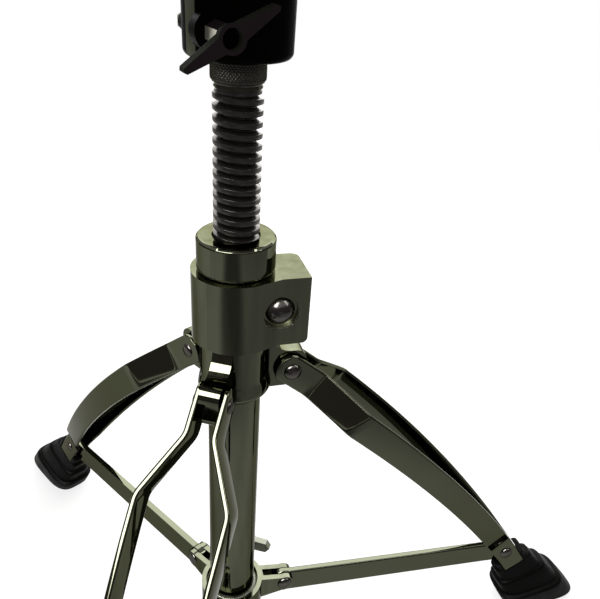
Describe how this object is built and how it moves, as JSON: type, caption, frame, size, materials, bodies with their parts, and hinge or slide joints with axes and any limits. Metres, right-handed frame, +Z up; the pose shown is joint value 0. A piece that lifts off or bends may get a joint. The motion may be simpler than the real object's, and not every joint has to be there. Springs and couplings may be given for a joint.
{
  "type": "drum throne base",
  "caption": "Folding tripod base for a round drummer's seat: chromed column, splayed strap legs, sliding strut hub, threaded height spindle with lock nut, and a black seat clamp.",
  "frame": {"origin": "on the column's axis, at floor level", "axes": "+Z up the column, +X along leg 1"},
  "size_m": [0.4463, 0.5118, 0.4704],
  "materials": {
    "chrome": "polished chrome plate",
    "black_paint": "satin black paint",
    "black_plastic": "moulded",
    "rubber": "moulded, matt",
    "nylon": "moulded nylon",
    "zinc": "zinc plated"
  },
  "bodies": {
    "column": {"column_tube": "chrome", "tube_plug": "black_plastic", "leg_collar": "chrome", "clamp_block": "chrome", "thread_sleeve": "nylon", "lock_bolt": "chrome", "wedge_front": "zinc", "wedge_back": "zinc"},
    "lower_hub": {"lower_hub": "chrome", "hub_liner": "nylon", "hub_rivet_1": "chrome", "hub_rivet_2": "chrome", "hub_rivet_3": "chrome"},
    "hub_screw": {"hub_wing_screw": "chrome"},
    "strut_1": {"strut_1": "chrome"},
    "leg_1": {"leg_1_strap_left": "chrome", "leg_1_strap_right": "chrome", "leg_1_pivot_rivets": "chrome", "foot_rivet_1": "chrome", "foot_spacer_1": "nylon", "boot_1": "rubber"},
    "strut_2": {"strut_2": "chrome"},
    "leg_2": {"leg_2_strap_left": "chrome", "leg_2_strap_right": "chrome", "leg_2_pivot_rivets": "chrome", "foot_rivet_2": "chrome", "foot_spacer_2": "nylon", "boot_2": "rubber"},
    "strut_3": {"strut_3": "chrome"},
    "leg_3": {"leg_3_strap_left": "chrome", "leg_3_strap_right": "chrome", "leg_3_pivot_rivets": "chrome", "foot_rivet_3": "chrome", "foot_spacer_3": "nylon", "boot_3": "rubber"},
    "guide": {"guide_bush": "nylon", "guide_screw": "zinc"},
    "spindle": {"spindle": "chrome", "spindle_thread": "chrome", "knurled_collar": "chrome"},
    "seat_clamp": {"seat_clamp": "black_paint", "jaw_nut": "zinc", "seat_plate": "black_paint", "plate_screws": "zinc"},
    "wing_bolt": {"wing_bolt": "black_paint"},
    "lock_nut": {"lock_nut": "chrome"},
    "lock_wing": {"lock_wing_nut": "chrome"}
  },
  "joints": [
    {"name": "hub_slide", "type": "slide", "parent": "column", "child": "lower_hub", "axis": [0, 0, 1], "range_m": [0, 0.08912]},
    {"name": "hub_screw_turn", "type": "hinge", "parent": "lower_hub", "child": "hub_screw", "pos_m": [0.0165, 0.02858, 0.0814], "axis": [0.5, 0.866, 0], "range_deg": [0, 180]},
    {"name": "strut_1_fold", "type": "hinge", "parent": "lower_hub", "child": "strut_1", "pos_m": [0.0353, 0, 0.0798], "axis": [0, 1, 0], "range_deg": [0, 78.33]},
    {"name": "leg_1_fold", "type": "hinge", "parent": "strut_1", "child": "leg_1", "pos_m": [0.2125, 0, 0.0618], "axis": [0, 1, 0], "range_deg": [-40.77, 0]},
    {"name": "strut_2_fold", "type": "hinge", "parent": "lower_hub", "child": "strut_2", "pos_m": [-0.01765, 0.03057, 0.0798], "axis": [-0.866, -0.5, 0], "range_deg": [0, 78.33]},
    {"name": "leg_2_fold", "type": "hinge", "parent": "strut_2", "child": "leg_2", "pos_m": [-0.10625, 0.18403, 0.0618], "axis": [-0.866, -0.5, 0], "range_deg": [-40.77, 0]},
    {"name": "strut_3_fold", "type": "hinge", "parent": "lower_hub", "child": "strut_3", "pos_m": [-0.01765, -0.03057, 0.0798], "axis": [0.866, -0.5, 0], "range_deg": [0, 78.33]},
    {"name": "leg_3_fold", "type": "hinge", "parent": "strut_3", "child": "leg_3", "pos_m": [-0.10625, -0.18403, 0.0618], "axis": [0.866, -0.5, 0], "range_deg": [-40.77, 0]},
    {"name": "height_slide", "type": "slide", "parent": "column", "child": "guide", "axis": [0, 0, 1], "range_m": [-0.065, 0.06]},
    {"name": "spindle_turn", "type": "hinge", "parent": "guide", "child": "spindle", "pos_m": [0, 0, 0.3391], "axis": [0, 0, 1], "range_deg": [-4776, 4409]},
    {"name": "seat_swivel", "type": "hinge", "parent": "spindle", "child": "seat_clamp", "pos_m": [0, 0, 0.4184], "axis": [0, 0, 1], "continuous": true},
    {"name": "wing_bolt_turn", "type": "hinge", "parent": "seat_clamp", "child": "wing_bolt", "pos_m": [-0.01687, -0.00334, 0.4301], "axis": [0.1942, -0.981, 0], "range_deg": [0, 180]},
    {"name": "lock_nut_turn", "type": "hinge", "parent": "column", "child": "lock_nut", "pos_m": [0, 0, 0.3219], "axis": [0, 0, 1], "range_deg": [0, 45]},
    {"name": "lock_wing_turn", "type": "hinge", "parent": "column", "child": "lock_wing", "pos_m": [0.0196, 0.0113, 0.30295], "axis": [0, 1, 0], "range_deg": [0, 180]}
  ],
  "couplings": [
    {"joint": "strut_1_fold", "follows": "hub_slide", "rad_per_m": 15.34},
    {"joint": "leg_1_fold", "follows": "hub_slide", "rad_per_m": -7.983},
    {"joint": "strut_2_fold", "follows": "hub_slide", "rad_per_m": 15.34},
    {"joint": "leg_2_fold", "follows": "hub_slide", "rad_per_m": -7.983},
    {"joint": "strut_3_fold", "follows": "hub_slide", "rad_per_m": 15.34},
    {"joint": "leg_3_fold", "follows": "hub_slide", "rad_per_m": -7.983},
    {"joint": "spindle_turn", "follows": "height_slide", "rad_per_m": 1282.3}
  ]
}
